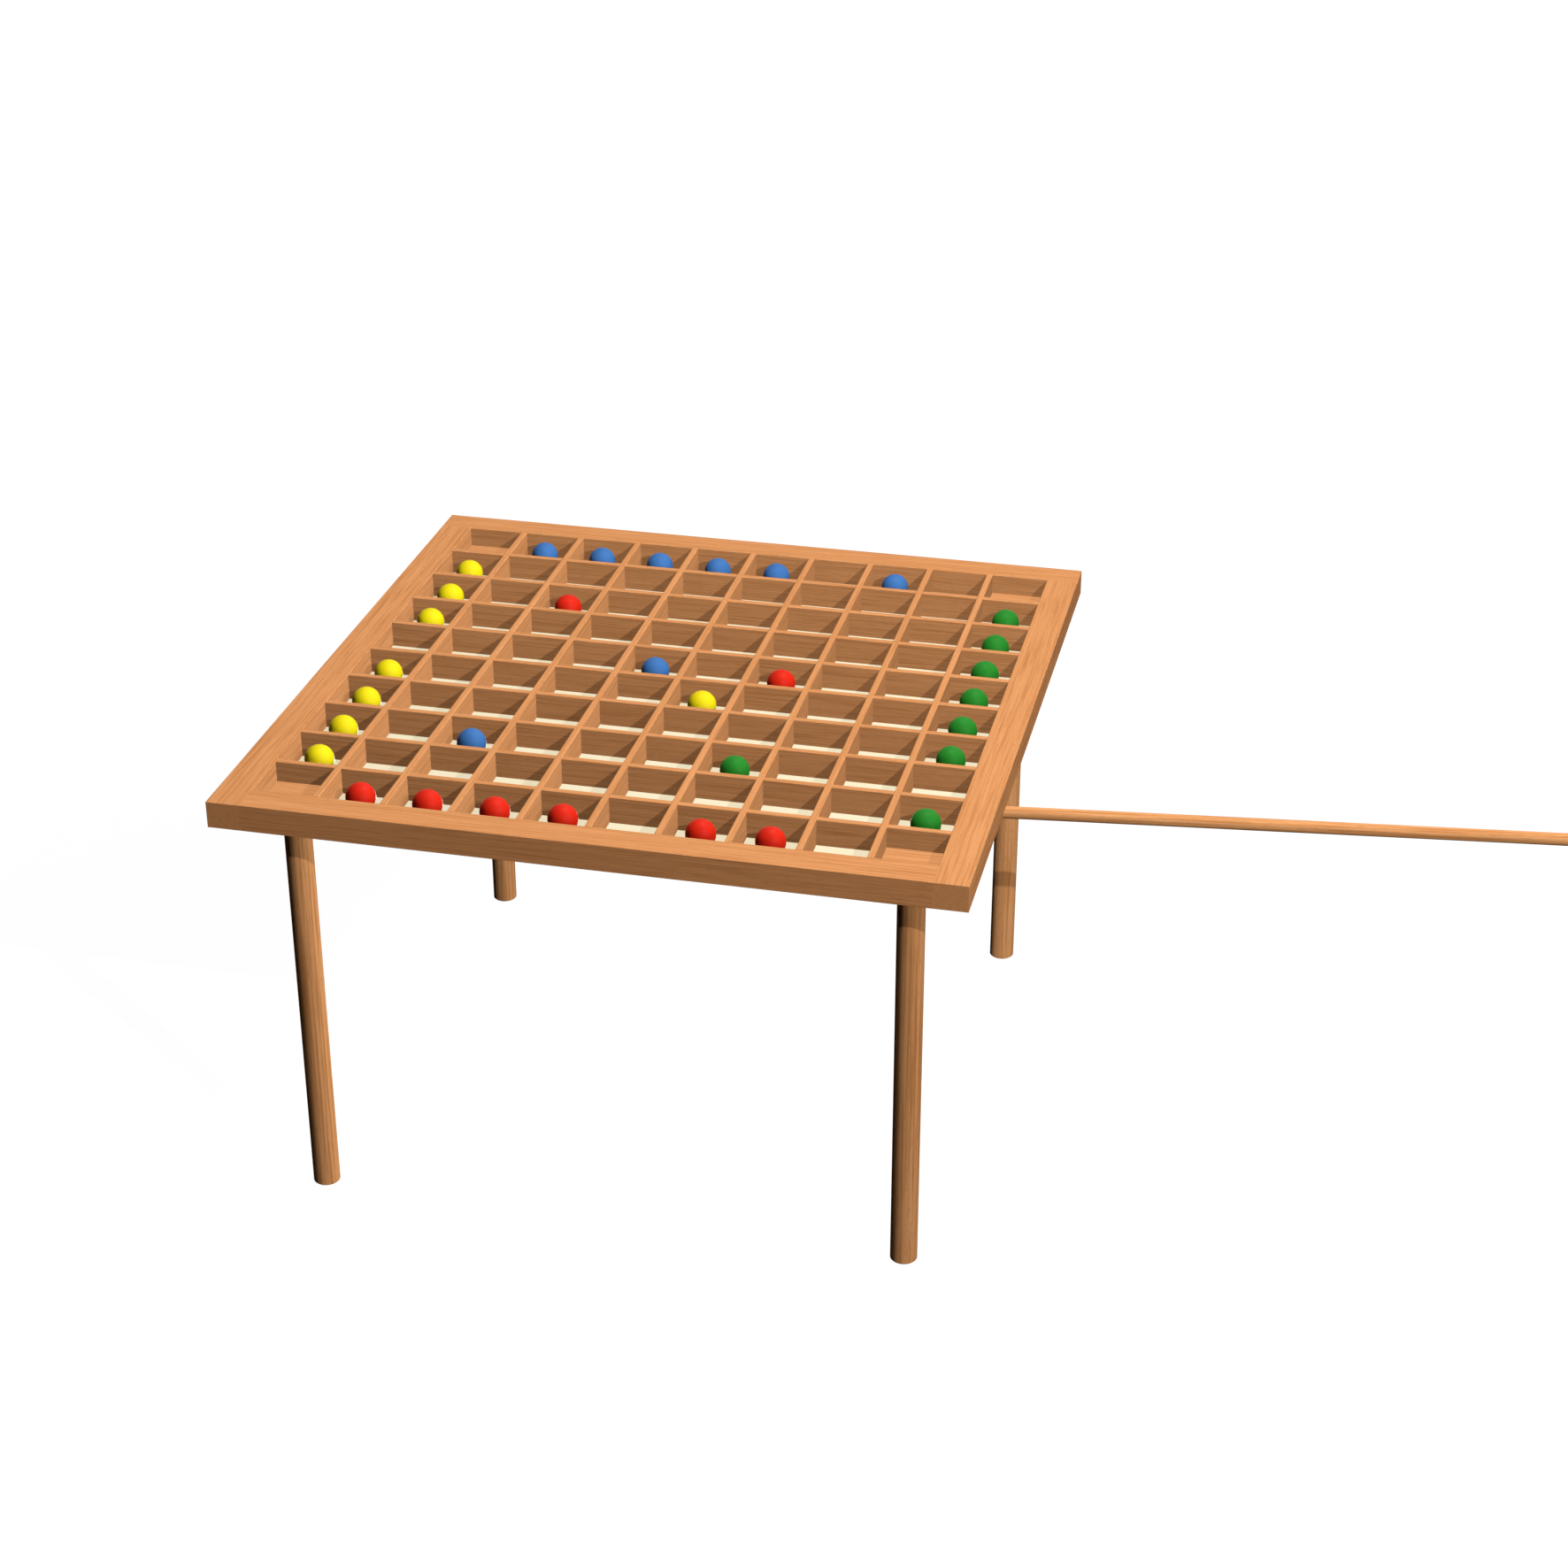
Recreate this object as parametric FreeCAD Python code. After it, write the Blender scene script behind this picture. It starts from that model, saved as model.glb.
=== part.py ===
"""A tabletop billiard game: a square grid table with a membrane floor, its balls and its cue.

Four rails carry an egg-crate grid of thin strips. An elastic membrane is stretched under the grid
and is the floor of the cells, where the balls lie. A round leg stands under each corner cell, on
a small wooden floor plate. The player knocks on the membrane from below with the cue.

Millimetres. +Z is up, +X is to the right and +Y to the back. The origin is on the floor, under the
middle of the table.
"""
import FreeCAD, Part
import math
import os

from FreeCAD import Placement, Rotation, Vector

# Driving dimensions: the frame and its grid
table_side = 500.0            # outer side of the square frame
rail_width = 23.0             # width of a rail, seen from above
frame_height = 18.5           # height of the rails and of the strips
strip_thickness = 4.5         # thickness of a grid strip
frame_edge_radius = 0.3       # rounding of the frame's outer edges
strip_edge_chamfer = 0.3      # bevel of the upper edges of rails and strips
halving_clearance = 0.1       # play of a halving joint, across the slot and in its depth

# Driving dimensions: corner plates, legs and their screws
plate_thickness = 4.0         # floor plate of a corner cell, flush with the underside
plate_clearance = 0.05        # play round a corner plate, taken up by glue
leg_diameter = 18.5
leg_length = 297.8            # from the floor to the underside of the frame
leg_foot_chamfer = 0.5        # bevel round the lower end of a leg
screw_diameter = 3.0
screw_length = 25.0           # from the top of the head to the point
screw_head_diameter = 5.6
screw_head_sink = 0.5         # from the plate's upper face down to the head
screw_point_length = 4.0
screw_pilot_diameter = 2.0    # hole drilled in the leg, which the thread cuts into
screw_hole_clearance = 0.1    # play of the screw in the plate, on the radius
screw_recess_width = 0.9      # one arm of the cross in the head
screw_recess_length = 3.2     # the cross from end to end
screw_recess_depth = 1.1

# Driving dimensions: the dowels in the frame's corner joints
dowel_diameter = 6.0
dowel_length = 32.0
dowel_spacing = 11.0          # between the two dowels of one joint
dowel_chamfer = 0.8
dowel_glue_gap = 0.05         # play on the radius
dowel_end_gap = 0.5           # room past each end of a dowel

# Driving dimensions: the membrane and its staples
membrane_thickness = 0.6
membrane_inset = 3.0          # from the frame's outer faces to the sheet's edge
leg_hole_clearance = 0.5      # play of the membrane round a leg, on the radius
staple_inset = 9.0            # from the frame's outer faces to the row of staples
staple_end_inset = 30.0       # from the frame's outer faces to the first staple of a row
staples_per_side = 9
staple_crown = 10.0           # outer length of the crown
staple_leg = 6.0              # how far a staple goes into the wood
staple_wire_width = 1.1
staple_wire_thickness = 0.7

# Driving dimensions: the balls and the cue
ball_diameter = 20.0
ball_clearance = 0.3          # from a ball to the membrane under it
cue_diameter = 8.7
cue_length = 500.0
cue_end_radius = 1.5          # rounding of both ends
cue_drop = 50.0               # from the membrane down to the cue's axis, at the struck cell
cue_reach = 9.7               # how far the tip goes past the middle of the struck cell
cue_turn = 5.28               # degrees that the cue turns from +X towards +Y
cue_rise = 0.87               # degrees that the cue rises towards the player's hand
struck_cell = (9, 4)          # column and row of the cell above the tip, counted from 0

# The balls as they lie: a row of text per row of cells, the back row first
ball_colours = {"r": "red", "b": "blue", "y": "yellow", "g": "green"}
ball_layout = (
    ". b b b b b . b . .",
    "y . . . . . . . . g",
    "y . r . . . . . . g",
    "y . . . . . . . . g",
    ". . . . b . r . . g",
    "y . . . . y . . . g",
    "y . . . . . . . . g",
    "y . b . . . g . . .",
    "y . . . . . . . . g",
    ". r r r r . r r . .",
)

# Derived sizes
cell_count = len(ball_layout)
half_side = table_side / 2
inner_half = half_side - rail_width
strip_count = cell_count - 1
cell_size = (2 * inner_half - strip_count * strip_thickness) / cell_count
cell_pitch = cell_size + strip_thickness
underside_z = leg_length
top_z = underside_z + frame_height
membrane_bottom_z = underside_z - membrane_thickness
plate_top_z = underside_z + plate_thickness
screw_top_z = plate_top_z - screw_head_sink
overcut = 1.0                 # how far a cutting solid runs past the face that it cuts
tolerance = 1e-6              # how far off a corner may be when an edge is picked by its place


def cell_middle(index):
    """X or Y of the middle of a column or row of cells, counted from the left or the front."""
    return -inner_half + cell_size / 2 + index * cell_pitch


def strip_middle(index):
    """X or Y of the middle of a grid strip, counted from the left or the front."""
    return -inner_half + cell_size + strip_thickness / 2 + index * cell_pitch


def block(x, y, z):
    """A box from three (low, high) pairs."""
    size = (x[1] - x[0], y[1] - y[0], z[1] - z[0])
    return Part.makeBox(*size, Vector(x[0], y[0], z[0]))


def edges_where(shape, test):
    """The straight edges of a shape whose two ends both pass a test."""
    return [edge for edge in shape.Edges
            if len(edge.Vertexes) == 2 and all(test(vertex.Point) for vertex in edge.Vertexes)]


def at_height(z):
    """A test that a point lies at a height."""
    return lambda point: abs(point.z - z) < tolerance


def quarter_turns(shape):
    """A shape and its copies at the other three sides or corners of the table."""
    return [shape.rotated(Vector(0, 0, 0), Vector(0, 0, 1), 90 * turn) for turn in range(4)]


def frame_ring():
    """The four rails as one ring, with rounded outer edges and bevelled inner upper edges."""
    span = (-half_side, half_side)
    outer = block(span, span, (underside_z, top_z))
    outer = outer.makeFillet(frame_edge_radius, outer.Edges)
    hole = (-inner_half, inner_half)
    inner = block(hole, hole, (underside_z - overcut, top_z + overcut))
    ring = outer.cut(inner)
    on_rim = edges_where(ring, lambda point: at_height(top_z)(point)
                         and max(abs(point.x), abs(point.y)) < inner_half + tolerance)
    return ring.makeChamfer(strip_edge_chamfer, on_rim)


def dowel(radius, length, chamfer=0.0):
    """A dowel along X, with its middle at the origin."""
    shape = Part.makeCylinder(radius, length, Vector(-length / 2, 0, 0), Vector(1, 0, 0))
    if chamfer:
        shape = shape.makeChamfer(chamfer, shape.Edges)
    return shape


def dowel_set(radius, length, chamfer=0.0):
    """The dowels of the four corner joints, or the holes for them."""
    middle_z = underside_z + frame_height / 2
    across = half_side - rail_width / 2
    shapes = []
    for side in (-1, 1):
        for step in (-0.5, 0.5):
            place = across + step * dowel_spacing
            front = dowel(radius, length, chamfer)
            front.translate(Vector(side * inner_half, -place, middle_z))
            back = dowel(radius, length, chamfer)
            back.rotate(Vector(0, 0, 0), Vector(0, 0, 1), 90)
            back.translate(Vector(side * place, inner_half, middle_z))
            shapes += [front, back]
    return shapes


def rails():
    """The four rails: the back one the full width, the side ones up to it, the front one between."""
    ring = frame_ring()
    holes = dowel_set(dowel_diameter / 2 + dowel_glue_gap, dowel_length + 2 * dowel_end_gap)
    ring_z = (underside_z - overcut, top_z + overcut)
    reach = half_side + overcut
    regions = {
        "rail_front": block((-inner_half, inner_half), (-reach, -inner_half), ring_z),
        "rail_back": block((-reach, reach), (inner_half, reach), ring_z),
        "rail_left": block((-reach, -inner_half), (-reach, inner_half), ring_z),
        "rail_right": block((inner_half, reach), (-reach, inner_half), ring_z),
    }
    return {name: ring.common(region).cut(holes) for name, region in regions.items()}


def strip_along_y(x):
    """A grid strip that runs from the front rail to the back rail, before it is notched."""
    half = strip_thickness / 2
    shape = block((x - half, x + half), (-inner_half, inner_half), (underside_z, top_z))
    upper = edges_where(shape, at_height(top_z))
    long_edges = [edge for edge in upper if edge.Length > strip_thickness + tolerance]
    return shape.makeChamfer(strip_edge_chamfer, long_edges)


def halving_slots(x, z):
    """The slots of one strip's halving joints, over a pair of heights."""
    half = strip_thickness / 2
    slot = half + halving_clearance / 2
    slots = []
    for index in range(strip_count):
        y = strip_middle(index)
        slots.append(block((x - half - overcut, x + half + overcut), (y - slot, y + slot), z))
    return slots


def long_divider(index):
    """A front-to-back strip: whole on top, slotted from below at each cross strip."""
    x = strip_middle(index)
    slot_top = underside_z + frame_height / 2 + halving_clearance / 2
    return strip_along_y(x).cut(halving_slots(x, (underside_z - overcut, slot_top)))


def cross_divider(index):
    """A left-to-right strip: whole below, slotted from above at each long strip."""
    x = strip_middle(index)
    slot_bottom = underside_z + frame_height / 2 - halving_clearance / 2
    shape = strip_along_y(x).cut(halving_slots(x, (slot_bottom, top_z + overcut)))
    return shape.rotated(Vector(0, 0, 0), Vector(0, 0, 1), 90)


def screw_body(extra_radius=0.0):
    """A countersunk head and shank, hanging from the origin, or with more radius their hole."""
    head = screw_head_diameter / 2 + extra_radius
    shank = screw_diameter / 2 + extra_radius
    cone_depth = head - shank
    profile = [
        Vector(0, 0, 0),
        Vector(head, 0, 0),
        Vector(shank, 0, -cone_depth),
        Vector(shank, 0, -screw_length + screw_point_length),
        Vector(0, 0, -screw_length),
        Vector(0, 0, 0),
    ]
    face = Part.Face(Part.makePolygon(profile))
    return face.revolve(Vector(0, 0, 0), Vector(0, 0, 1), 360)


def leg_screw(x, y):
    """One wood screw with a cross recess, driven down through a corner plate."""
    arm = screw_recess_width / 2
    reach = screw_recess_length / 2
    recess_z = (-screw_recess_depth, overcut)
    recess = block((-reach, reach), (-arm, arm), recess_z)
    recess = recess.fuse(block((-arm, arm), (-reach, reach), recess_z))
    shape = screw_body().cut(recess)
    shape.translate(Vector(x, y, screw_top_z))
    return shape


def corner_plate(x, y):
    """The floor plate of a corner cell, with a hole in its middle that sinks the screw's head."""
    half = cell_size / 2 - plate_clearance
    shape = block((x - half, x + half), (y - half, y + half),
                  (underside_z, plate_top_z))
    hole = screw_body(screw_hole_clearance)
    hole.translate(Vector(x, y, screw_top_z))
    sink = Part.makeCylinder(screw_head_diameter / 2 + screw_hole_clearance,
                             screw_head_sink + overcut, Vector(x, y, screw_top_z))
    return shape.cut([hole, sink])


def leg(x, y):
    """A round leg with a bevelled foot and a pilot hole for its screw."""
    radius = leg_diameter / 2
    shape = Part.makeCylinder(radius, leg_length, Vector(x, y, 0))
    foot = [edge for edge in shape.Edges if edge.BoundBox.ZMax < tolerance]
    shape = shape.makeChamfer(leg_foot_chamfer, foot)
    pilot_depth = screw_length - (screw_top_z - underside_z)
    pilot = Part.makeCylinder(screw_pilot_diameter / 2, pilot_depth + overcut,
                              Vector(x, y, leg_length - pilot_depth))
    return shape.cut(pilot)


def membrane():
    """The stretched sheet, with a round hole for each leg."""
    span = (-half_side + membrane_inset, half_side - membrane_inset)
    sheet = block(span, span, (membrane_bottom_z, underside_z))
    radius = leg_diameter / 2 + leg_hole_clearance
    holes = [Part.makeCylinder(radius, membrane_thickness + 2 * overcut,
                               Vector(x, y, membrane_bottom_z - overcut))
             for x, y in corner_middles().values()]
    return sheet.cut(holes)


def staple(x, y):
    """A wire staple with its crown along X, driven up through the membrane."""
    outer = staple_crown / 2
    inner = outer - staple_wire_thickness
    y_span = (y - staple_wire_width / 2, y + staple_wire_width / 2)
    low = membrane_bottom_z - staple_wire_thickness
    crown = block((x - outer, x + outer), y_span, (low, membrane_bottom_z))
    legs = [block(x_span, y_span, (low, underside_z + staple_leg))
            for x_span in ((x - outer, x - inner), (x + inner, x + outer))]
    return crown.fuse(legs).removeSplitter()


def staples():
    """The staples on the four sides, evenly spaced along each rail."""
    y = -half_side + staple_inset
    span = 2 * (half_side - staple_end_inset)
    step = span / (staples_per_side - 1)
    shapes = []
    for index in range(staples_per_side):
        shapes += quarter_turns(staple(-span / 2 + index * step, y))
    return shapes


def corner_middles():
    """Name and middle of each of the four corner cells."""
    low = cell_middle(0)
    high = cell_middle(cell_count - 1)
    return {
        "front_left": (low, low),
        "front_right": (high, low),
        "back_left": (low, high),
        "back_right": (high, high),
    }


def balls():
    """Every ball by name, numbered within its colour from the front row to the back."""
    centre_z = underside_z + ball_clearance + ball_diameter / 2
    found = {}
    count = dict.fromkeys(ball_colours, 0)
    for row, line in enumerate(reversed(ball_layout)):
        for column, mark in enumerate(line.split()):
            if mark not in ball_colours:
                continue
            count[mark] += 1
            centre = Vector(cell_middle(column), cell_middle(row), centre_z)
            found[f"ball_{ball_colours[mark]}_{count[mark]}"] = Part.makeSphere(ball_diameter / 2, centre)
    return found


def cue():
    """The cue: a plain round stick with rounded ends, held under the struck cell."""
    shape = Part.makeCylinder(cue_diameter / 2, cue_length)
    rims = [edge for edge in shape.Edges if edge.Closed and edge.BoundBox.ZLength < tolerance]
    shape = shape.makeFillet(cue_end_radius, rims)
    column, row = struck_cell
    turn = math.radians(cue_turn)
    rise = math.radians(cue_rise)
    along = Vector(math.cos(rise) * math.cos(turn), math.cos(rise) * math.sin(turn), math.sin(rise))
    under_cell = Vector(cell_middle(column), cell_middle(row), membrane_bottom_z - cue_drop)
    tip = under_cell - along * cue_reach
    shape.Placement = Placement(tip, Rotation(Vector(0, 0, 1), along))
    return shape


def build():
    """Every node by name."""
    nodes = rails()
    for index in range(strip_count):
        nodes[f"long_divider_{index + 1}"] = long_divider(index)
    nodes["cross_dividers"] = Part.makeCompound([cross_divider(index) for index in range(strip_count)])
    for name, (x, y) in corner_middles().items():
        nodes[f"corner_plate_{name}"] = corner_plate(x, y)
        nodes[f"leg_{name}"] = leg(x, y)
    nodes["corner_dowels"] = Part.makeCompound(
        dowel_set(dowel_diameter / 2, dowel_length, dowel_chamfer))
    nodes["leg_screws"] = Part.makeCompound([leg_screw(x, y) for x, y in corner_middles().values()])
    nodes["membrane"] = membrane()
    nodes["membrane_staples"] = Part.makeCompound(staples())
    nodes["cue"] = cue()
    nodes.update(balls())
    return nodes


os.makedirs("parts", exist_ok=True)
for node_name, node_shape in build().items():
    node_shape.exportStep(f"parts/{node_name}.step")
    solids = node_shape.Solids
    print(f"{node_name}: {len(solids)} solids, {sum(solid.Volume for solid in solids):.1f} mm3,"
          f" valid {node_shape.isValid()}")
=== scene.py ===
# %% [markdown]
# # A tabletop billiard game, and how its looks are made
#
# The game is a small square table. Four rails hold an egg-crate grid of thin strips, an elastic
# cloth is stretched under the grid, and painted balls lie in its cells. A plain round cue knocks
# on the cloth from below. The construction is already there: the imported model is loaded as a
# fixed frame, in metres, with every piece in place. What is left is the part that the eye sees:
# the woods, the paint, the steel and the cloth.

import math

import bpy
from mathutils import Euler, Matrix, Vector


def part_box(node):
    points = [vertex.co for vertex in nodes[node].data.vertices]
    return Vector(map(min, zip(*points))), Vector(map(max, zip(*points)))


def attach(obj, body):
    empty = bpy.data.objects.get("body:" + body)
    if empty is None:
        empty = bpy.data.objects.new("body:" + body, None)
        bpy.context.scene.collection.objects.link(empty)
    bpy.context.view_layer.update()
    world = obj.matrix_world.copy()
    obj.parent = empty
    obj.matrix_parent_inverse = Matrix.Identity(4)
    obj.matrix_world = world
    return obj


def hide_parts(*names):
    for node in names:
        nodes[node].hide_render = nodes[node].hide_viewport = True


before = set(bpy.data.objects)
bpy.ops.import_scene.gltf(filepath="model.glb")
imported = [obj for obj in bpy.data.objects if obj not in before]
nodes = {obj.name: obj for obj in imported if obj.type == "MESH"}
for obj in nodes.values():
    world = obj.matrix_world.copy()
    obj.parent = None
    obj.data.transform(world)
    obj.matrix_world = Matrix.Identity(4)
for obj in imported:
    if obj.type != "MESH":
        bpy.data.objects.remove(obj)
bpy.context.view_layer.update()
bpy.ops.object.select_all(action="DESELECT")

# %% [markdown]
# ## Real sizes
#
# A pattern looks right when its scale comes from a real size. Millimetres are how a maker thinks,
# and metres are what the frame uses, so one small factor turns the first into the second. Places
# are read from the pieces themselves: the back rail reaches to the table top's back right corner.

# %% Sizes and places
MM = 0.001

table_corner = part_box("rail_back")[1]
half_side = table_corner.x
print(f"table top {2 * half_side / MM:.0f} mm square, {table_corner.z / MM:.1f} mm high")

# %% [markdown]
# ## The camera
#
# The photograph was taken with a long lens, from a little to the right and well above the table.
# The camera could be dragged until the view fits, but numbers are easier to keep and to check. So
# it stands at one place and is turned by two plain angles: how far it is tipped up from looking
# straight down, and how far it is turned about the vertical.

# %% Camera
CAMERA_PLACE = Vector((0.4975, -1.8399, 1.2192))
CAMERA_ELEVATION = 27.40      # degrees that it looks down from level
CAMERA_AZIMUTH = 12.90        # degrees that it looks to the left of straight ahead
CAMERA_LENS = 68.98           # millimetres, on the sensor below
SENSOR_WIDTH = 36             # millimetres
camera_turn = Euler((math.radians(90 - CAMERA_ELEVATION), 0, math.radians(CAMERA_AZIMUTH)))

bpy.ops.object.camera_add(location=CAMERA_PLACE, rotation=camera_turn)
camera = bpy.context.object
camera.name = "camera"
camera.data.lens = CAMERA_LENS
camera.data.sensor_width = SENSOR_WIDTH
bpy.context.scene.camera = camera
bpy.context.scene.view_settings.view_transform = "Standard"
print(f"camera {CAMERA_PLACE.length:.2f} m from the middle of the floor under the table")

# %% [markdown]
# ## Colours and nodes
#
# A colour picker gives sRGB values, which are bent to suit a screen. Shaders add and multiply
# light, so they need linear values. One function unbends a hex colour, and another takes a colour
# down to a share of its light. A third adds a node to a material, sets it up and links it, and a
# fourth starts a new material, so that each finish further down reads as a short list.

# %% Colour and node helpers
def linear(hex_colour):
    """An sRGB colour such as "#E0A070" as the linear red, green, blue and alpha of a shader."""
    channels = [int(hex_colour[i:i + 2], 16) / 255 for i in (1, 3, 5)]
    return [c / 12.92 if c <= 0.04045 else ((c + 0.055) / 1.055) ** 2.4 for c in channels] + [1.0]


def dimmed(colour, share):
    """A linear colour with its red, green and blue brought down to a share of themselves."""
    return [channel * share for channel in colour[:3]] + [1.0]


def add(tree, kind, sockets, **settings):
    """Adds a node. Each socket takes a number, a colour, or another node's output."""
    node = tree.nodes.new(kind)
    for name, value in settings.items():
        setattr(node, name, value)
    for name, value in sockets.items():
        socket = next(s for s in node.inputs if s.identifier == name)
        if isinstance(value, bpy.types.NodeSocket):
            tree.links.new(value, socket)
        else:
            socket.default_value = value
    return node


def new_material(name):
    """An empty material with its shader and output, and the piece's own coordinates."""
    material = bpy.data.materials.new(name)
    material.use_nodes = True
    tree = material.node_tree
    tree.nodes.clear()
    shader = add(tree, "ShaderNodeBsdfPrincipled", {})
    add(tree, "ShaderNodeOutputMaterial", {"Surface": shader.outputs["BSDF"]})
    place = add(tree, "ShaderNodeTexCoord", {}).outputs["Object"]
    return material, tree, shader, place


print("a screen's half-way grey has", round(linear("#808080")[0], 2), "of white's light")

# %% [markdown]
# ## Patterns that have a real size
#
# Every finish here is a pattern: layers in wood, a ripple in paint, crystals on zinc. A picture
# could be wrapped round each piece, but it would stretch, and show where it meets itself. Noise
# fills the space that the piece stands in, so it does neither. A Mapping node of the Texture type
# takes the size of one patch of noise in millimetres along, across and through the piece, and the
# turn of the pattern.
#
# A pattern then does two things. It lays one colour over another, and it makes the surface more
# or less rough, with a slight relief. Noise seldom leaves the middle of its way from 0 to 1, so
# each use picks the stretch of values that counts.

# %% Pattern helpers
MOST_NOISE = (0.3, 0.7)       # the stretch that holds nearly all values of a noise
SOFT_PATCHES = (0.35, 0.65)   # a stretch that gives wide patches with soft edges
NO_TURN = (0.0, 0.0, 0.0)


def stretched_noise(tree, place, size_mm, turn=NO_TURN, detail=2.0, roughness=0.5):
    """Noise whose patches have a real size along, across and through the grain."""
    mapping = add(tree, "ShaderNodeMapping",
                  {"Vector": place, "Scale": [s * MM for s in size_mm], "Rotation": turn},
                  vector_type="TEXTURE")
    noise = add(tree, "ShaderNodeTexNoise",
                {"Vector": mapping.outputs["Vector"], "Scale": 1.0, "Detail": detail,
                 "Roughness": roughness})
    return noise.outputs["Fac"]


def laid_over(tree, under, over, pattern, pick, most=1.0):
    """One colour over another, by a share that goes from 0 to the most over a stretch."""
    share = add(tree, "ShaderNodeMapRange",
                {"Value": pattern, "From Min": pick[0], "From Max": pick[1], "To Max": most})
    mix = add(tree, "ShaderNodeMix",
              {"Factor_Float": share.outputs["Result"], "A_Color": under, "B_Color": over},
              data_type="RGBA")
    return mix.outputs["Result"]


def set_surface(tree, shader, pattern, pick, roughness, relief=None):
    """Lets a pattern make a surface more or less rough, and give it a relief of a real depth."""
    rough = add(tree, "ShaderNodeMapRange",
                {"Value": pattern, "From Min": pick[0], "From Max": pick[1],
                 "To Min": roughness[0], "To Max": roughness[1]})
    tree.links.new(rough.outputs["Result"], shader.inputs["Roughness"])
    if relief:
        strength, depth_mm = relief
        bump = add(tree, "ShaderNodeBump",
                   {"Height": pattern, "Strength": strength, "Distance": depth_mm * MM})
        tree.links.new(bump.outputs["Normal"], shader.inputs["Normal"])


print(f"noise runs from about {MOST_NOISE[0]} to {MOST_NOISE[1]}")

# %% [markdown]
# ## Wood
#
# Wood is not a flat picture. It is a solid bundle of long fibres, laid down in yearly layers, and
# each face shows a different cut through it. A solid texture does the same: it fills space, and
# the face of a piece cuts through it. Long, thin noise gives the fibres, wider and flatter noise
# gives the yearly layers, and because both run along the piece, its ends show end grain without
# any more work. The photograph shows an orange-brown wood such as oiled alder, with fine streaks
# and no knots. An oil finish leaves it nearly matt.

# %% Wood
BOARD_TONE = (900, 60, 60)    # millimetres: the slow change of tone across a board
PORES = (7, 0.6, 0.6)         # millimetres: the short dark pores
STREAK_PICK = (0.45, 0.68)    # the stretch of noise over which a streak gets dark
PORE_PICK = (0.58, 0.72)      # the same for a pore
TONE_SHARE = 0.4              # how far the slow change of tone goes
CUT_ACROSS = (0.5, 0.9)       # cosines to the grain between which a face turns to end grain
END_FIGURE = 0.2              # how much of the figure is left where the grain is cut across
STREAK_RELIEF = (0.2, 0.08)   # strength, and depth in millimetres
WOOD_ROUGHNESS = (0.68, 0.84)
WOOD_IOR = 1.45
WOOD_SPECULAR = 0.01


def facing_along(tree, turn):
    """1 where a face looks along the grain, which shows end grain, and 0 where it lies along it."""
    grain = Euler(turn).to_matrix() @ Vector((1, 0, 0))
    normal = add(tree, "ShaderNodeTexCoord", {}).outputs["Normal"]
    along = add(tree, "ShaderNodeVectorMath", {"Vector": normal, "Vector_001": grain},
                operation="DOT_PRODUCT").outputs["Value"]
    return add(tree, "ShaderNodeMath", {"Value": along}, operation="ABSOLUTE").outputs["Value"]


def wood(name, turn, layer_mm, streak_mm, figure, colours):
    """Oiled alder whose grain runs along X, turned by three angles."""
    pale, middle, dark = [linear(colour) for colour in colours]
    material, tree, shader, place = new_material(name)
    board = stretched_noise(tree, place, BOARD_TONE, turn)
    layers = stretched_noise(tree, place, layer_mm, turn)
    streaks = stretched_noise(tree, place, streak_mm, turn, detail=3.0, roughness=0.6)
    pores = stretched_noise(tree, place, PORES, turn, detail=1.0)
    colour = laid_over(tree, middle, pale, layers, SOFT_PATCHES)
    colour = laid_over(tree, colour, middle, board, SOFT_PATCHES, TONE_SHARE)
    end_grain = facing_along(tree, turn)
    for pattern, pick, most in ((streaks, STREAK_PICK, figure), (pores, PORE_PICK, figure / 2)):
        share = add(tree, "ShaderNodeMapRange",
                    {"Value": end_grain, "From Min": CUT_ACROSS[0], "From Max": CUT_ACROSS[1],
                     "To Min": most, "To Max": most * END_FIGURE})
        colour = laid_over(tree, colour, dark, pattern, pick, share.outputs["Result"])
    tree.links.new(colour, shader.inputs["Base Color"])
    set_surface(tree, shader, streaks, MOST_NOISE, WOOD_ROUGHNESS, STREAK_RELIEF)
    shader.inputs["IOR"].default_value = WOOD_IOR
    shader.inputs["Specular IOR Level"].default_value = WOOD_SPECULAR
    return material


print(f"a board's tone changes over about {BOARD_TONE[1]} mm across and {BOARD_TONE[0]} mm along")

# %% [markdown]
# The grain follows the longest side of each piece, as a maker would cut it. Side rails and long
# strips run front to back, the other rails, strips and plates left to right, and the legs up and
# down. The cue lies at its own small angle, which is measured from its two ends.
#
# The boards are planed, and the legs and the cue are turned on a lathe. Fine sanding there leaves
# them a little paler, and a round face cuts through more layers, so their figure is stronger. One
# wood for all would be less work, but then the grain would run across many of the pieces.

# %% Grain directions and the woods
ALONG_X = (0.0, 0.0, 0.0)
ALONG_Y = (0.0, 0.0, math.radians(90))
ALONG_Z = (0.0, math.radians(-90), 0.0)
END_SLICE = 1.0 * MM          # the length at each end of the cue that is measured


def end_middles(node, slice_length):
    """The middles of a long piece's left and right ends."""
    corners = [v.co for v in node.data.vertices]
    left = min(c.x for c in corners)
    right = max(c.x for c in corners)
    ends = [[c for c in corners if abs(c.x - x) < slice_length] for x in (left, right)]
    return [sum(group, Vector()) / len(group) for group in ends]


cue_tip, cue_butt = end_middles(nodes["cue"], END_SLICE)
along_cue = tuple((cue_butt - cue_tip).to_track_quat("X", "Z").to_euler())
print("cue lies along", (cue_butt - cue_tip).normalized())

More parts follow.
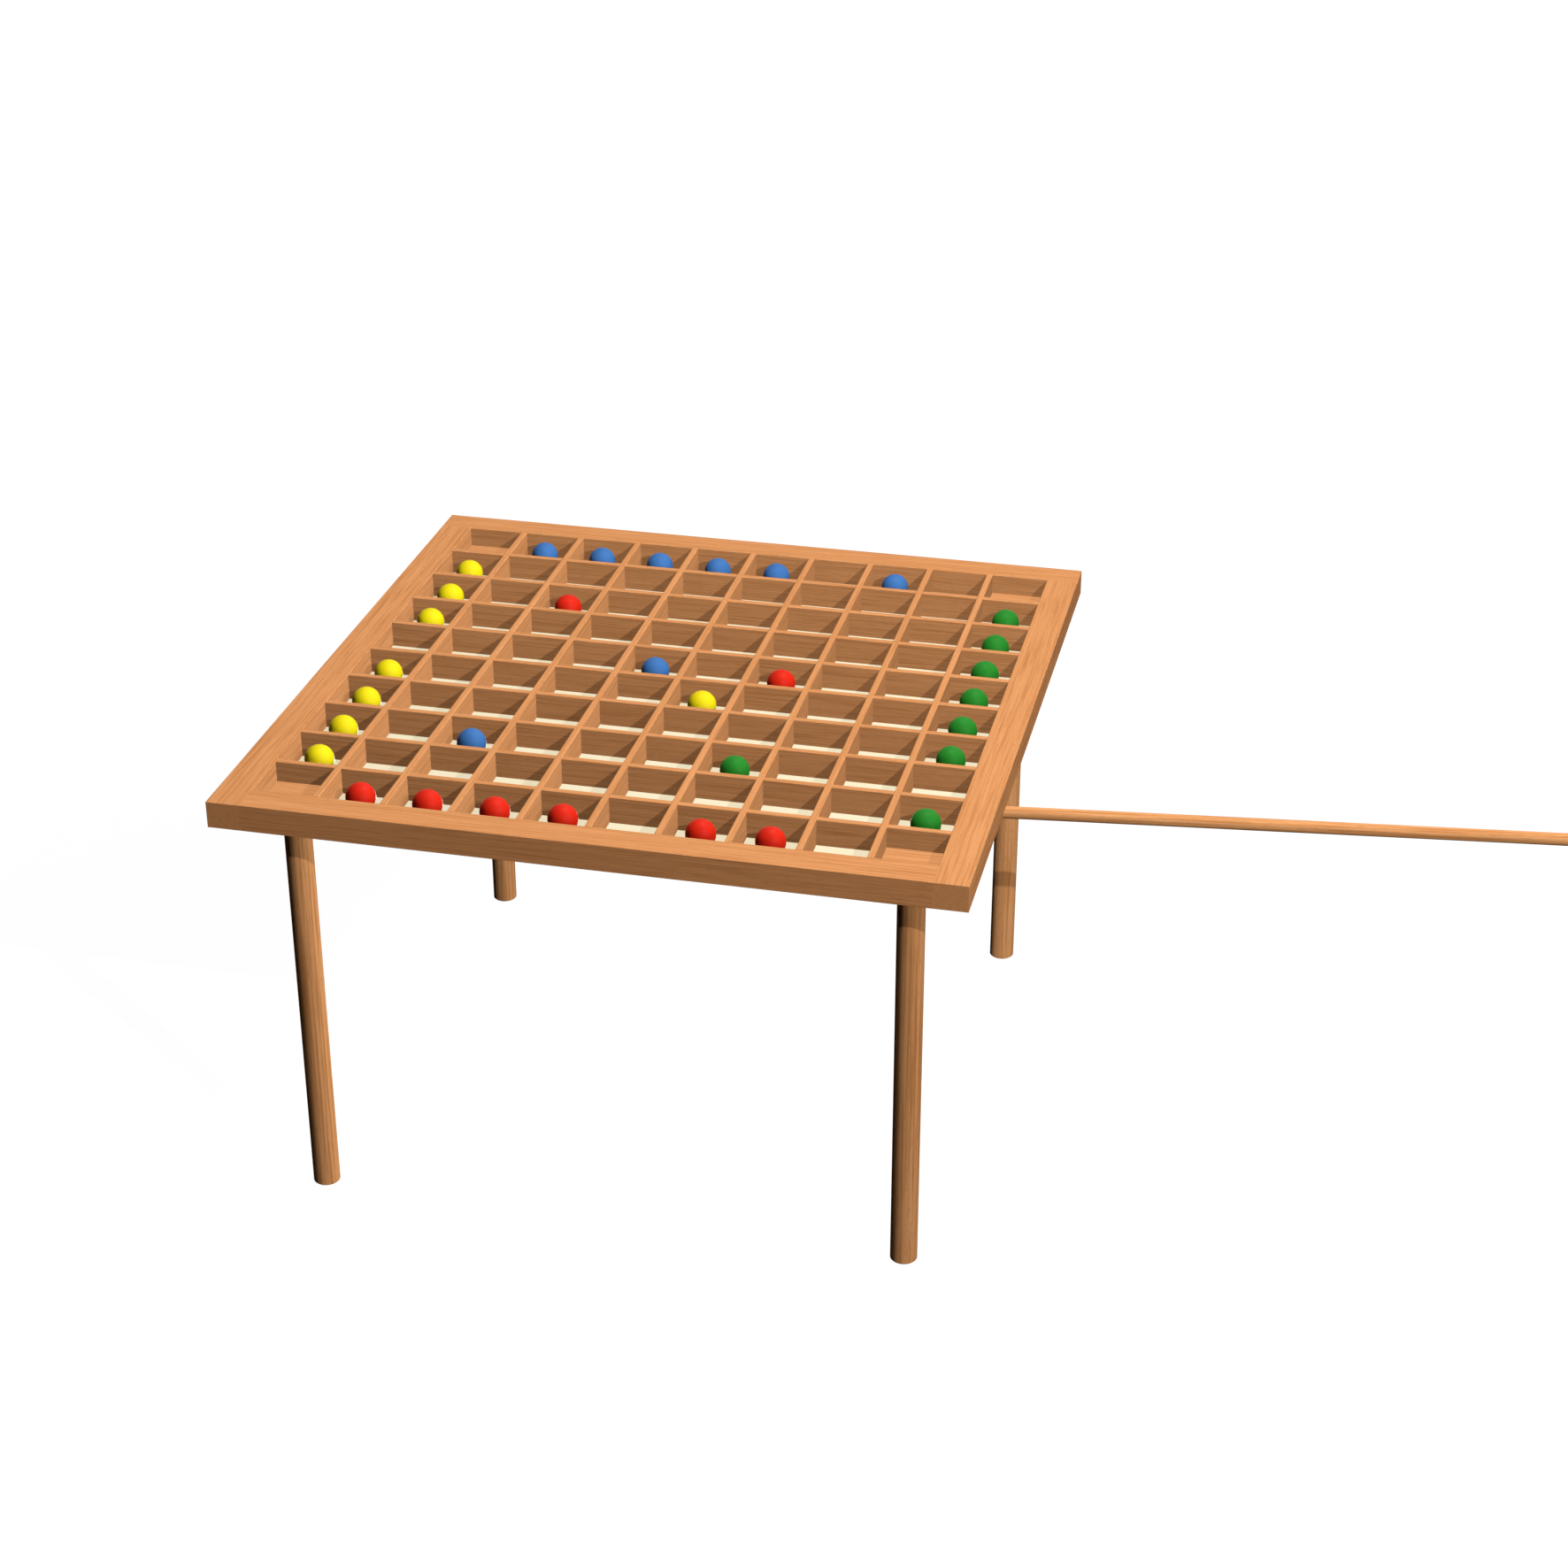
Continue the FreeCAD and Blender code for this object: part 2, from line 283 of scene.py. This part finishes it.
PLANED_ALDER = ("#EDA56C", "#E39C63", "#BC7642")    # pale, middle and dark
TURNED_ALDER = ("#F7B176", "#EDA86C", "#C47F48")
BOARD_LAYERS = (260, 2.6, 2.6)                      # millimetres, as are the sizes below
BOARD_STREAKS = (60, 1.0, 1.0)
RAIL_STREAKS = (55, 1.6, 1.6)
ROUND_LAYERS = (260, 2.4, 2.4)
ROUND_STREAKS = (110, 1.8, 1.8)

WOOD_KINDS = {     # grain, size of the layers and of the streaks, strength of the figure, colours
    "planed_alder_along_x": (ALONG_X, BOARD_LAYERS, BOARD_STREAKS, 0.6, PLANED_ALDER),
    "planed_alder_along_y": (ALONG_Y, BOARD_LAYERS, BOARD_STREAKS, 0.45, PLANED_ALDER),
    "figured_alder_side_rail": (ALONG_Y, BOARD_LAYERS, RAIL_STREAKS, 0.6, PLANED_ALDER),
    "turned_alder_leg": (ALONG_Z, ROUND_LAYERS, ROUND_STREAKS, 0.9, TURNED_ALDER),
    "turned_alder_cue": (along_cue, ROUND_LAYERS, ROUND_STREAKS, 0.9, TURNED_ALDER),
}
woods = {name: wood(name, *kind) for name, kind in WOOD_KINDS.items()}
print(f"{len(woods)} kinds of wood")

# %% [markdown]
# ## Painted balls
#
# The balls are small turned wooden balls under a satin paint. Such paint is smooth but never
# perfect: its colour is a touch deeper where it lies thicker, and the light on it is broken by a
# very slight ripple. The ripple is a bump of a few hundredths of a millimetre, which only turns
# the light: as a real relief it would need a great many faces, and look the same.

# %% Paint
PAINTS = {"red": "#E82812", "blue": "#4277B9", "yellow": "#FEE814", "green": "#278928"}
THICKER_PAINT = (9, 9, 9)     # millimetres: the patches where it lies thicker
RIPPLE = (1.6, 1.6, 1.6)      # millimetres
THICK_SHADE = 0.92            # how much light a thicker patch still gives back
RIPPLE_RELIEF = (0.2, 0.04)   # strength, and depth in millimetres
PAINT_ROUGHNESS = (0.50, 0.60)
PAINT_SPECULAR = 0.10


def satin_paint(name, hex_colour):
    """A satin paint on a turned wooden ball."""
    material, tree, shader, place = new_material(name)
    thicker = stretched_noise(tree, place, THICKER_PAINT)
    ripple = stretched_noise(tree, place, RIPPLE)
    colour = linear(hex_colour)
    shade = laid_over(tree, colour, dimmed(colour, THICK_SHADE), thicker, SOFT_PATCHES)
    tree.links.new(shade, shader.inputs["Base Color"])
    set_surface(tree, shader, ripple, MOST_NOISE, PAINT_ROUGHNESS, RIPPLE_RELIEF)
    shader.inputs["Specular IOR Level"].default_value = PAINT_SPECULAR
    return material


paints = {colour: satin_paint(f"{colour}_satin_paint", hex_colour)
          for colour, hex_colour in PAINTS.items()}
print(f"{len(paints)} paints")

# %% [markdown]
# ## Steel
#
# The screws and staples are steel under a thin layer of zinc, with a dull, cloudy shine. A metal's
# base colour is the colour of its reflection, and the zinc's crystals vary how rough it is.
# A plain grey would be nearly as good on pieces as small as these, but not in a close view.

# %% Steel
CRYSTALS = (0.8, 0.8, 0.8)    # millimetres
CRYSTAL_PICK = (0.4, 0.7)     # the stretch of noise over which a crystal gets dull
CRYSTAL_SHADE = 0.75          # how much light a dull crystal still gives back
STEEL_ROUGHNESS = (0.28, 0.45)


def zinc_plated_steel(name, hex_colour):
    """Steel under a thin layer of zinc."""
    material, tree, shader, place = new_material(name)
    crystals = stretched_noise(tree, place, CRYSTALS, detail=3.0)
    colour = linear(hex_colour)
    shade = laid_over(tree, colour, dimmed(colour, CRYSTAL_SHADE), crystals, CRYSTAL_PICK)
    tree.links.new(shade, shader.inputs["Base Color"])
    set_surface(tree, shader, crystals, MOST_NOISE, STEEL_ROUGHNESS)
    shader.inputs["Metallic"].default_value = 1.0
    return material


screw_steel = zinc_plated_steel("zinc_plated_screw_steel", "#C8CCD2")
staple_steel = zinc_plated_steel("galvanised_staple_wire", "#B9BDC2")
print(f"steels {screw_steel.name} and {staple_steel.name}")

# %% [markdown]
# ## Which piece gets which finish
#
# A finish belongs to a piece by what the piece is, so its name picks it. That is shorter than a
# list of all the pieces, and a new strip or ball would find its finish by itself. The packed
# pieces keep their meshes: only the material in their slots is changed.

# %% Give the pieces their finishes
legs = [name for name in nodes if name.startswith("leg_") and name != "leg_screws"]


def finish_of(name):
    """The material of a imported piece, from its name."""
    if name.startswith("ball_"):
        return paints[name.split("_")[1]]
    if name in ("rail_left", "rail_right"):
        return woods["figured_alder_side_rail"]
    if name.startswith("long_divider"):
        return woods["planed_alder_along_y"]
    if name in legs:
        return woods["turned_alder_leg"]
    if name == "cue":
        return woods["turned_alder_cue"]
    if name == "leg_screws":
        return screw_steel
    if name == "membrane_staples":
        return staple_steel
    return woods["planed_alder_along_x"]


finishes = {name: finish_of(name) for name in nodes}
for name, finish in finishes.items():
    nodes[name].data.materials.clear()
    nodes[name].data.materials.append(finish)
print(f"{len(set(finishes.values()))} finishes on {len(finishes)} pieces")

# %% [markdown]
# ## The stretched cloth
#
# The floor of the cells is an elastic knitted cloth, pulled tight and stapled under the rails. The
# pack holds it as a plain slab. Here it is a sheet that draws in a little at its raw edge between
# the staples, hangs off the wood there by a hair, and lies flat where a staple presses it. A cloth
# simulation could find that form, but a cosine from staple to staple gives it at once and the same
# each time. Only the rim has a shape, so a grid with squares of a few millimetres is fine enough.

# %% The sheet and its rim
STAPLES_PER_SIDE = 9
STAPLE_INSET = 30 * MM        # from the table's corner to the first staple of a side
EDGE_DRAW = 1.0 * MM          # how far the raw edge draws in between two staples
RIM_WIDTH = 14 * MM           # how far in from the edge the cloth still moves
SAG = 1.0 * MM                # hangs the rim 0.15 mm off the wood, or 0.3 mm at a corner
GRID_CELLS = 132
staple_span = 2 * (half_side - STAPLE_INSET)
staple_step = staple_span / (STAPLES_PER_SIDE - 1)
cloth_low, cloth_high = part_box("membrane")
cloth_side = cloth_high.x - cloth_low.x

bpy.ops.mesh.primitive_grid_add(x_subdivisions=GRID_CELLS, y_subdivisions=GRID_CELLS,
                                size=cloth_side, location=(0, 0, cloth_high.z))
cloth = bpy.context.object
cloth.name = "stretched_cloth"


def between_staples(along):
    """0 at a staple, 1 midway between two, for a place along a side."""
    phase = (along + staple_span / 2) / staple_step
    return 0.5 - 0.5 * math.cos(2 * math.pi * phase)


for vertex in cloth.data.vertices:
    x, y, _ = vertex.co
    for axis, across, along in ((0, x, y), (1, y, x)):
        rim = max(0.0, 1 - (cloth_side / 2 - abs(across)) / RIM_WIDTH)
        loose = between_staples(along) * rim * rim
        vertex.co[axis] -= math.copysign(EDGE_DRAW * loose, across)
        vertex.co.z -= SAG * loose * (1 - rim)
print(f"cloth {cloth_side / MM:.0f} mm square, in squares of {cloth_side / GRID_CELLS / MM:.1f} mm")

# %% [markdown]
# A real sheet has two sides and an edge. Solidify gives it its thickness, downwards from its top
# side, and a Boolean cuts the holes that the legs pass through. Each cutter is a cylinder that
# reaches well past both sides. The holes could be drawn into the grid, but a cut keeps it regular.

# %% Thickness and leg holes
HOLE_PLAY = 0.5 * MM          # between the cloth and a leg, on the radius
HOLE_SIDES = 64
CUTTER_DEPTH = 20 * MM
SMOOTH_UP_TO = math.radians(40)

solidify = cloth.modifiers.new("thickness", "SOLIDIFY")
solidify.thickness = cloth_high.z - cloth_low.z
solidify.offset = -1
bpy.ops.object.modifier_apply(modifier=solidify.name)

leg_low, leg_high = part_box(legs[0])
hole_radius = (leg_high.x - leg_low.x) / 2 + HOLE_PLAY
for leg in legs:
    leg_low, leg_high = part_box(leg)
    middle = (leg_low + leg_high) / 2
    bpy.ops.mesh.primitive_cylinder_add(vertices=HOLE_SIDES, radius=hole_radius, depth=CUTTER_DEPTH,
                                        location=(middle.x, middle.y, cloth_high.z))
    cutter = bpy.context.object
    hole = cloth.modifiers.new("leg_hole", "BOOLEAN")
    hole.object = cutter
    hole.operation = "DIFFERENCE"
    hole.solver = "EXACT"
    bpy.context.view_layer.objects.active = cloth
    bpy.ops.object.modifier_apply(modifier=hole.name)
    bpy.data.objects.remove(cutter)

bpy.ops.object.select_all(action="DESELECT")
cloth.select_set(True)
bpy.context.view_layer.objects.active = cloth
bpy.ops.object.transform_apply(location=True, rotation=True, scale=True)
bpy.ops.object.shade_smooth_by_angle(angle=SMOOTH_UP_TO)
print(f"cloth has {len(cloth.data.polygons)} faces")

# %% [markdown]
# The cloth is a cream rib knit. Its ribs are drawn as lines of light and shade, about one
# millimetre apart and a little coarser than on such a cloth, so that they show from where the
# camera stands. A knit is matt, with a faint bloom at a low angle, which is what sheen gives.
#
# Two waves that cross each other make the stitches, where noise would look like felt. A Wave
# node's bands are a tenth of pi apart at a scale of 1, which gives the scale for a spacing.

# %% Knit
KNIT_COLOUR = "#FBEFCE"
KNIT_SHADE = "#F3E1B7"        # towards this between the ribs, and where the cloth is a little dull
RIB_SPACING = 1.0 * MM
STITCH_SPACING = 1.5 * MM     # along a rib
UNEVEN_RIBS = {"Distortion": 0.6, "Detail": 1.0, "Detail Scale": 0.4}
WHOLE_WAVE = (0.0, 1.0)
GROOVES = (0.5, 0.0)          # the stretch of the wave from the side of a rib down to the groove
GROOVE_SHARE = 0.5            # how far the colour goes towards the shade in a groove
DULL_PATCHES = (60, 25, 25)   # millimetres
DULL_PICK = (0.45, 0.75)      # the stretch of noise over which a patch gets dull
DULL_SHARE = 0.25
KNIT_RELIEF = (0.4, 0.15)     # strength, and depth in millimetres
KNIT_ROUGHNESS = (0.9, 0.75)  # in the grooves, and on the ribs
KNIT_SPECULAR = 0.2
KNIT_SHEEN = 0.1


def rib_knit(name):
    """An elastic knitted cloth with fine ribs along X."""
    bright, shade = linear(KNIT_COLOUR), linear(KNIT_SHADE)
    material, tree, shader, place = new_material(name)
    waves = []
    for direction, spacing in (("Y", RIB_SPACING), ("X", STITCH_SPACING)):
        wave = add(tree, "ShaderNodeTexWave",
                   {"Vector": place, "Scale": math.pi / 10 / spacing, **UNEVEN_RIBS},
                   wave_type="BANDS", bands_direction=direction)
        waves.append(wave.outputs["Fac"])
    knit = add(tree, "ShaderNodeMath", {"Value": waves[0], "Value_001": waves[1]},
               operation="MULTIPLY").outputs["Value"]
    patches = stretched_noise(tree, place, DULL_PATCHES)
    colour = laid_over(tree, bright, shade, knit, GROOVES, GROOVE_SHARE)
    colour = laid_over(tree, colour, shade, patches, DULL_PICK, DULL_SHARE)
    tree.links.new(colour, shader.inputs["Base Color"])
    set_surface(tree, shader, knit, WHOLE_WAVE, KNIT_ROUGHNESS, KNIT_RELIEF)
    shader.inputs["Specular IOR Level"].default_value = KNIT_SPECULAR
    shader.inputs["Sheen Weight"].default_value = KNIT_SHEEN
    return material


cloth.data.materials.clear()
cloth.data.materials.append(rib_knit("cream_elastic_rib_knit"))
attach(cloth, "table")
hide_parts("membrane")

# %% [markdown]
# ## The floor and the light
#
# The photograph has a plain white ground. A bright lamp could make a floor white, but it would
# bleach the balls and the cloth. So only what the camera sees is white: a Light Path node tells a
# camera ray from light that bounces. What shows in a reflection or through glass counts as seen,
# so that the steel has the white room around it too.

# %% What the camera sees
WHITE = "#FFFFFF"


def seen_directly(tree):
    """1 for what the camera sees, also by way of a reflection or through glass, and else 0."""
    path = add(tree, "ShaderNodeLightPath", {})
    total = add(tree, "ShaderNodeMath", {"Value": path.outputs["Is Camera Ray"],
                                         "Value_001": path.outputs["Is Glossy Ray"]},
                operation="ADD").outputs["Value"]
    return add(tree, "ShaderNodeMath", {"Value": total,
                                        "Value_001": path.outputs["Is Transmission Ray"]},
               operation="ADD", use_clamp=True).outputs["Value"]


print("white is", linear(WHITE)[:3], "in linear light")

# %% [markdown]
# The floor is a large disc of pale paint that takes the table's shadow. Pure white is mixed in, so
# that the shadow is faint, and farther out the white takes over, so that the disc shows no edge.
# Light that bounces meets a dark floor instead, which doesn't throw white light up at the wood.

# %% Floor
FLOOR_RADIUS = 30.0           # metres
FLOOR_SIDES = 96
SHADOW_REACH = (0.4, 1.3)     # metres from the middle over which the floor fades to pure white
SHADOW_SHARE = 0.40           # how much of the shadow shows under the table
PURE_WHITE = 1.08             # just above 1, so that the ground stays white in a faint shade
FLOOR_PAINT = "#F8F8F8"
UNSEEN_FLOOR = "#202020"      # what light that bounces meets

bpy.ops.mesh.primitive_circle_add(vertices=FLOOR_SIDES, radius=FLOOR_RADIUS, fill_type="NGON")
floor = bpy.context.object
floor.name = "floor"
pale_floor = bpy.data.materials.new("pale_floor")
pale_floor.use_nodes = True
tree = pale_floor.node_tree
tree.nodes.clear()
place = add(tree, "ShaderNodeTexCoord", {}).outputs["Object"]
distance = add(tree, "ShaderNodeVectorMath", {"Vector": place}, operation="LENGTH").outputs["Value"]
paint = add(tree, "ShaderNodeBsdfDiffuse", {"Color": linear(FLOOR_PAINT)}).outputs["BSDF"]
white = add(tree, "ShaderNodeEmission",
            {"Color": linear(WHITE), "Strength": PURE_WHITE}).outputs["Emission"]
whiteness = add(tree, "ShaderNodeMapRange",
                {"Value": distance, "From Min": SHADOW_REACH[0], "From Max": SHADOW_REACH[1],
                 "To Min": 1 - SHADOW_SHARE, "To Max": 1.0}).outputs["Result"]
ground = add(tree, "ShaderNodeMixShader",
             {"Fac": whiteness, "Shader": paint, "Shader_001": white}).outputs["Shader"]
dim = add(tree, "ShaderNodeBsdfDiffuse", {"Color": linear(UNSEEN_FLOOR)}).outputs["BSDF"]
surface = add(tree, "ShaderNodeMixShader",
              {"Fac": seen_directly(tree), "Shader": dim, "Shader_001": ground}).outputs["Shader"]
add(tree, "ShaderNodeOutputMaterial", {"Surface": surface})
floor.data.materials.append(pale_floor)
print(f"floor {2 * FLOOR_RADIUS:.0f} m across")

# %% [markdown]
# The light in the photograph comes from the right and from above. The key lamp throws the sharp,
# slanting shadows into the cells and on the legs. They are light shadows, because the fill lamp
# stands near it and throws none. The overhead lamp makes the tops bright. Together they light the
# top at a plain level, at which a colour renders about as it is written.
#
# Small lamps give sharp shadows where a wide one would blur them. Their light would fade across
# the table, so a Light Falloff node keeps it the same at any distance.

# %% Lamps
POINT_LAMPS = {               # place, share of the plain level, and whether it throws shadows
    "key_lamp": ((0.90, -1.06, 1.13), 0.265, True),
    "fill_lamp": ((0.79, -0.59, 0.755), 0.475, False),
    "overhead_lamp": ((0.29, 0.27, 1.53), 0.74, False),
}
LAMP_RADIUS = 0.004           # metres
POINT_UNIT = 4 * math.pi ** 2     # watts that light a surface facing the lamp at the plain level

for name, (place, strength, throws_shadow) in POINT_LAMPS.items():
    bpy.ops.object.light_add(type="POINT", location=place)
    lamp = bpy.context.object
    lamp.name = name
    lamp.data.energy = strength * POINT_UNIT
    lamp.data.shadow_soft_size = LAMP_RADIUS
    lamp.data.use_shadow = throws_shadow
    lamp.data.use_nodes = True
    tree = lamp.data.node_tree
    emission = next(n for n in tree.nodes if n.type == "EMISSION")
    falloff = add(tree, "ShaderNodeLightFalloff", {"Strength": 1.0})
    tree.links.new(falloff.outputs["Constant"], emission.inputs["Strength"])
print(f"{len(POINT_LAMPS)} point lamps")

# %% [markdown]
# The sides that the photograph doesn't show need light too, for when they are looked at. A sun
# lamp does that: its rays run side by side, so it can stand exactly opposite the camera and light
# only what faces away from there.

# %% Back lamp
BACK_STRENGTH = 1.10          # share of the plain level
SUN_UNIT = math.pi            # watts per square metre that light a facing surface at that level
SUN_WIDTH = math.radians(1)

opposite_camera = camera_turn.to_matrix() @ Vector((0, 0, -1))
bpy.ops.object.light_add(type="SUN", location=opposite_camera,
                         rotation=opposite_camera.to_track_quat("Z", "Y").to_euler())
back_lamp = bpy.context.object
back_lamp.name = "back_lamp"
back_lamp.data.energy = BACK_STRENGTH * SUN_UNIT
back_lamp.data.angle = SUN_WIDTH
back_lamp.data.use_shadow = False
print("back lamp stands towards", opposite_camera)

# %% [markdown]
# A side that no lamp reaches is nearly black in the photograph. So the room gives little light,
# and the pieces throw none at each other: light that bounces doesn't see them. Lamps alone can't
# do that, because each lit piece would still light its neighbours.

# %% The room
AMBIENT = 0.005               # what the room's light is to the pieces, where 1 is white

world = bpy.data.worlds.new("white_room")
bpy.context.scene.world = world
world.use_nodes = True
tree = world.node_tree
tree.nodes.clear()
room_light = add(tree, "ShaderNodeMapRange",
                 {"Value": seen_directly(tree), "To Min": AMBIENT, "To Max": 1.0}).outputs["Result"]
background = add(tree, "ShaderNodeBackground", {"Color": linear(WHITE), "Strength": room_light})
add(tree, "ShaderNodeOutputWorld", {"Surface": background.outputs["Background"]})

meshes = [*nodes.values(), cloth]
for mesh in meshes:
    mesh.visible_diffuse = False
print(f"{len(meshes)} meshes throw no light at each other")
